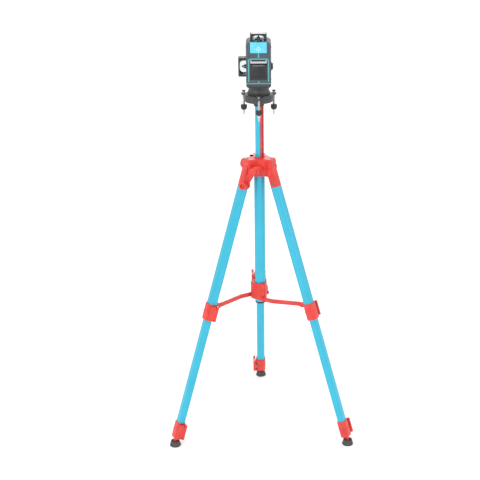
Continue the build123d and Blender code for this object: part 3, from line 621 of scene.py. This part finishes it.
class AddModules(bpy.types.Operator):
    """Add the three laser barrels with their glass cones"""
    bl_idname = "laser_level.add_modules"
    bl_label = "Laser modules"

    def execute(self, context):
        tilt = JOINTS["pendulum_tilt"]["pos_m"]
        shells = separate_shells("laser_modules")
        centres = []
        for shell in shells:
            lo = Vector([min(v.co[i] for v in shell.verts) for i in range(3)])
            hi = Vector([max(v.co[i] for v in shell.verts) for i in range(3)])
            centres.append((lo, hi))
            shell.free()
        barrels, cones = bmesh.new(), bmesh.new()
        for lo, hi in centres:
            size = hi - lo
            along = max(range(3), key=lambda i: size[i])
            middle = (lo + hi) / 2
            radius = min(size) / 2
            start, end = middle.copy(), middle.copy()
            outward = 1 if abs(hi[along] - tilt[along]) > abs(lo[along] - tilt[along]) else -1
            start[along], end[along] = (lo[along], hi[along]) if outward > 0 else (hi[along], lo[along])
            reach_out = (end - start).length
            place = facing(start, end - start)
            neck, shoulder = radius - 1.6 * MM, reach_out - 9 * MM
            profile = [(0, 0), (radius - 0.5 * MM, 0), (radius, 0.5 * MM), (radius, shoulder - 6 * MM)]
            for i in range(4):
                z = shoulder - 6 * MM + i * 1.3 * MM
                profile += [(radius - 0.5 * MM, z + 0.3 * MM), (radius, z + 0.7 * MM)]
            profile += [(radius, shoulder - 0.3 * MM), (radius - 0.3 * MM, shoulder), (neck, shoulder),
                        (neck, shoulder + 3.9 * MM), (0, shoulder + 3.9 * MM)]
            turned(barrels, profile, place, 36)
            tip = [(0, shoulder + 3.9 * MM), (neck - 0.2 * MM, shoulder + 3.9 * MM),
                   (neck - 0.2 * MM, shoulder + 4.4 * MM), (0.5 * MM, reach_out - 0.2 * MM), (0, reach_out)]
            turned(cones, tip, place, 36)
        put(barrels, "module_barrels", "bolt", "pendulum", ("laser_modules",))
        put(cones, "module_cones", "lens", "pendulum", ("laser_modules",))
        return {"FINISHED"}


class AddLevellingFeet(bpy.types.Operator):
    """Add the fluted knobs and the threaded, pointed screws of the levelling base"""
    bl_idname = "laser_level.add_levelling_feet"
    bl_label = "Levelling feet"

    def execute(self, context):
        sizes = context.scene.level_sizes
        for name in LEVELLING_FEET:
            node = f"levelling_foot_{name}"
            low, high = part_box(node)
            centre = (low + high) / 2
            place = Matrix.Translation((centre.x, centre.y, low.z))
            tall = high.z - low.z
            knob_low, knob_high, radius = 18 * MM, 32 * MM, 8.6 * MM
            bm = bmesh.new()
            profile = [(0, knob_low), (radius * 0.62, knob_low), (radius * 0.72, knob_low + 0.7 * MM),
                       (radius, knob_low + 3.4 * MM), (radius, knob_high - 1.2 * MM),
                       (radius - 0.8 * MM, knob_high - 0.2 * MM), (radius * 0.7, knob_high), (0, knob_high)]
            made = turned(bm, profile, Matrix.Identity(4), sizes.knurl_count * 4)
            for vert in made:
                ring = math.hypot(vert.co.x, vert.co.y)
                if ring > radius * 0.95:
                    wave = 0.5 - 0.5 * math.cos(sizes.knurl_count * math.atan2(vert.co.y, vert.co.x))
                    vert.co.x *= 1 - 0.085 * wave
                    vert.co.y *= 1 - 0.085 * wave
            turned(bm, [(0, tall - 3.0 * MM), (4.6 * MM, tall - 3.0 * MM), (5.0 * MM, tall - 2.6 * MM),
                        (5.0 * MM, tall - 0.7 * MM), (4.3 * MM, tall), (0, tall)], Matrix.Identity(4), 32)
            bmesh.ops.transform(bm, matrix=place, verts=bm.verts)
            put(bm, f"levelling_knob_{name}", "black", node, (node,))
            bm = bmesh.new()
            rod, root = 3.4 * MM, 2.9 * MM
            profile = [(0, 0), (0.6 * MM, 0.1 * MM), (1.0 * MM, 0.5 * MM), (4.5 * MM, knob_low - 1.4 * MM),
                       (4.8 * MM, knob_low - 0.9 * MM), (4.8 * MM, knob_low),
                        (root, knob_low), (root, knob_high)]
            z = knob_high
            while z < tall - 3.4 * MM:
                profile += [(root, z + 0.1 * sizes.thread_pitch), (rod, z + 0.5 * sizes.thread_pitch)]
                z += sizes.thread_pitch
            profile += [(root, z), (0, z)]
            turned(bm, profile, place, 28)
            put(bm, f"levelling_screw_{name}", "steel", node, (node,))
        return {"FINISHED"}


class AddScale(bpy.types.Operator):
    """Add the ring of marks on the levelling base"""
    bl_idname = "laser_level.add_scale"
    bl_label = "Angle scale"

    def execute(self, context):
        count = context.scene.level_sizes.tick_count
        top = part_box("turntable")[1]
        disc = JOINTS["level_turn"]["pos_m"][2]
        outer = top.x + 4.4 * MM
        bm = bmesh.new()
        for i in range(count):
            inner = outer - (3.0 if i % 6 == 0 else 1.8) * MM
            turn = Matrix.Rotation(math.tau * i / count, 4, "Z")
            slab(bm, (inner, -0.16 * MM, disc - 0.1 * MM), (outer, 0.16 * MM, disc + 0.12 * MM), place=turn)
        put(bm, "angle_scale", "latch", "column")
        return {"FINISHED"}


class AddVial(bpy.types.Operator):
    """Add the round bubble level in the shoulder cover"""
    bl_idname = "laser_level.add_vial"
    bl_label = "Bubble vial"

    def execute(self, context):
        low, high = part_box("bubble_vial")
        centre = (low + high) / 2
        radius, tall = (high.x - low.x) / 2, high.z - low.z
        inner = radius - 1.2 * MM
        place = Matrix.Translation((centre.x, centre.y, low.z))
        bm = bmesh.new()
        turned(bm, [(0, 0), (radius, 0), (radius, tall - 0.9 * MM), (radius - 0.4 * MM, tall - 0.5 * MM),
                    (inner + 0.2 * MM, tall - 0.5 * MM), (inner, tall - 0.9 * MM),
                     (inner, 1.4 * MM), (0, 1.4 * MM)],
               place, 40)
        put(bm, "vial_cup", "black", "stand", ("bubble_vial",))
        bm = bmesh.new()
        dome = [(0, 1.4 * MM), (inner - 0.1 * MM, 1.4 * MM), (inner - 0.1 * MM, tall - 1.6 * MM)]
        dome += [(inner * math.cos(a), tall - 1.6 * MM + 1.5 * MM * math.sin(a))
                 for a in (math.radians(15 * k) for k in range(1, 6))]
        turned(bm, dome + [(0, tall - 0.1 * MM)], place, 40)
        put(bm, "vial_capsule", "vial", "stand", ("bubble_vial",))
        bm = bmesh.new()
        ring = [(1.75 * MM, tall - 0.3 * MM), (2.0 * MM, tall - 0.34 * MM), (2.0 * MM, tall - 0.12 * MM),
                (1.75 * MM, tall - 0.08 * MM), (1.75 * MM, tall - 0.3 * MM)]
        turned(bm, ring, place, 32)
        put(bm, "vial_ring", "black", "stand")
        return {"FINISHED"}


class AddToes(bpy.types.Operator):
    """Add the moulded ribs round each rubber foot"""
    bl_idname = "laser_level.add_toes"
    bl_label = "Toes"

    def execute(self, context):
        for leg in LEGS:
            low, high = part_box(f"rubber_foot_{leg}")
            centre = (low + high) / 2
            radius = (high.x - low.x) / 2
            bm = bmesh.new()
            for z, out in ((2.2 * MM, 0.25 * MM), (6.0 * MM, 0.2 * MM)):
                ring = radius - z * 3.5 / 15
                turned(bm, [(ring - 1.2 * MM, z - 0.6 * MM), (ring + out, z - 0.6 * MM),
                            (ring + out + 0.2 * MM, z),
                            (ring + out, z + 0.6 * MM), (ring - 1.2 * MM, z + 0.6 * MM),
                            (ring - 1.2 * MM, z - 0.6 * MM)], Matrix.Translation((centre.x, centre.y, 0)), 56)
            put(bm, f"foot_ribs_{leg}", "rubber", f"foot_{leg}")
        return {"FINISHED"}


class AddFasteners(bpy.types.Operator):
    """Add the screws of the castings, the cover and the housing, and the heads of the lever pins"""
    bl_idname = "laser_level.add_fasteners"
    bl_label = "Screws and pins"

    def execute(self, context):
        sizes = context.scene.level_sizes
        for leg in LEGS:
            place = leg_place(leg)
            bm = bmesh.new()
            screw_head(bm, place @ facing((0, -14.7 * MM, -46 * MM), (0, -1, 0)), 3.6 * MM, 1.6 * MM)
            put(bm, f"casting_screw_{leg}", "bolt", f"leg_{leg}")
            for kind, body in (("mid", f"leg_{leg}"), ("lower", f"middle_{leg}")):
                joint = JOINTS[f"{kind}_lever_flip_{leg}"]
                bm = bmesh.new()
                axis = Vector(joint["axis"])
                for side in (-1, 1):
                    ends = Vector(joint["pos_m"]) + axis * side * 22.2 * MM
                    turned(bm, [(0, 0), (3.0 * MM, 0), (3.0 * MM, 0.5 * MM),
                                (2.4 * MM, 1.1 * MM), (0, 1.2 * MM)],
                           facing(ends, axis * side), 24)
                put(bm, f"{kind}_pin_heads_{leg}", "steel", body)
        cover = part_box("shoulder_cover")[1].z - 2 * MM
        bm = bmesh.new()
        for leg in LEGS:
            out = Vector(JOINTS[f"leg_fold_{leg}"]["pos_m"])
            point = Vector((out.x, out.y, 0)).normalized() * 38 * MM
            screw_head(bm, Matrix.Translation((point.x, point.y, cover - 0.2 * MM)), 3.2 * MM, 1.4 * MM)
        put(bm, "cover_screws", "bolt", "stand")
        low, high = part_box("housing")
        bm = bmesh.new()
        for side, x in ((-1, low.x), (1, high.x)):
            for y in (low.y + 11 * MM, high.y - 11 * MM):
                for z in (low.z + 9 * MM, high.z - 14 * MM):
                    place = facing((x - side * 0.3 * MM, y, z), (side, 0, 0))
                    screw_head(bm, place, sizes.screw_radius, 0.9 * MM)
        put(bm, "housing_screws", "bolt", "level")
        return {"FINISHED"}


class SetStage(bpy.types.Operator):
    """Add the floor, the camera, the lights and the surroundings"""
    bl_idname = "laser_level.set_stage"
    bl_label = "Stage"

    def execute(self, context):
        stage = context.scene.level_stage
        bm = bmesh.new()
        bmesh.ops.create_grid(bm, x_segments=1, y_segments=1, size=FLOOR_REACH)
        mesh = bpy.data.meshes.new("floor")
        bm.to_mesh(mesh)
        bm.free()
        floor = bpy.data.objects.new("floor", mesh)
        context.scene.collection.objects.link(floor)
        made = Finish("pale_floor")
        tone = tuple(stage.floor)
        made.colours(scaled(tone, 0.995), tone, made.limits(made.noise(3, 2), 0, 1))
        made.sockets(Roughness=0.9)
        mesh.materials.append(made.material)
        data = bpy.data.cameras.new("camera")
        data.lens, data.shift_x, data.sensor_width = stage.lens, stage.shift, 36.0
        camera = bpy.data.objects.new("camera", data)
        camera.matrix_world = (Matrix.Translation(CAMERA_AT)
                               @ Euler((stage.tilt, 0, 0)).to_matrix().to_4x4()
                               @ Matrix.Rotation(stage.roll, 4, "Z"))
        context.scene.collection.objects.link(camera)
        context.scene.camera = camera
        aim = Vector(AIM_AT)
        for name, power, spot, size in (("key", stage.key, (-2.0, -2.4, 2.9), 2.4),
                                        ("fill", stage.fill, (2.8, -1.6, 1.9), 2.6),
                                        ("back", stage.back, (0.6, 3.2, 2.8), 2.8)):
            light = bpy.data.lights.new(name, "AREA")
            light.energy, light.size = power, size
            lamp = bpy.data.objects.new(name, light)
            lamp.location = spot
            lamp.rotation_euler = (aim - Vector(spot)).to_track_quat("-Z", "Y").to_euler()
            context.scene.collection.objects.link(lamp)
        world = bpy.data.worlds.new("studio")
        world.use_nodes = True
        world.node_tree.nodes["Background"].inputs["Color"].default_value = (1, 1, 1, 1)
        world.node_tree.nodes["Background"].inputs["Strength"].default_value = stage.world
        context.scene.world = world
        context.scene.view_settings.view_transform = "Standard"
        return {"FINISHED"}


class LevelPanel(bpy.types.Panel):
    """Lists the pieces in the 3D view's sidebar"""
    bl_idname = "VIEW3D_PT_laser_level"
    bl_label = "Laser level on tripod"
    bl_space_type = "VIEW_3D"
    bl_region_type = "UI"
    bl_category = "Laser level"

    def draw(self, context):
        for operator in OPERATORS:
            self.layout.operator(operator.bl_idname)
        for name in SETTINGS:
            group = getattr(context.scene, name)
            for key in group.bl_rna.properties.keys():
                if key not in ("rna_type", "name"):
                    self.layout.prop(group, key)


OPERATORS = (PaintFrame, AddLabel, AddTrim, AddBatteryRibs, AddModules, AddLevellingFeet, AddScale, AddVial,
             AddToes, AddFasteners, SetStage)
SETTINGS = {"level_colours": ColourSettings, "level_sizes": SizeSettings, "level_stage": StageSettings}


def register():
    for cls in (*SETTINGS.values(), *OPERATORS, LevelPanel):
        bpy.utils.register_class(cls)
    for name, cls in SETTINGS.items():
        setattr(bpy.types.Scene, name, PointerProperty(type=cls))


def unregister():
    for name in SETTINGS:
        delattr(bpy.types.Scene, name)
    for cls in (LevelPanel, *reversed(OPERATORS), *SETTINGS.values()):
        bpy.utils.unregister_class(cls)


def main():
    register()
    for operator in OPERATORS:
        group, name = operator.bl_idname.split(".")
        getattr(getattr(bpy.ops, group), name)()


if __name__ == "__main__":
    main()
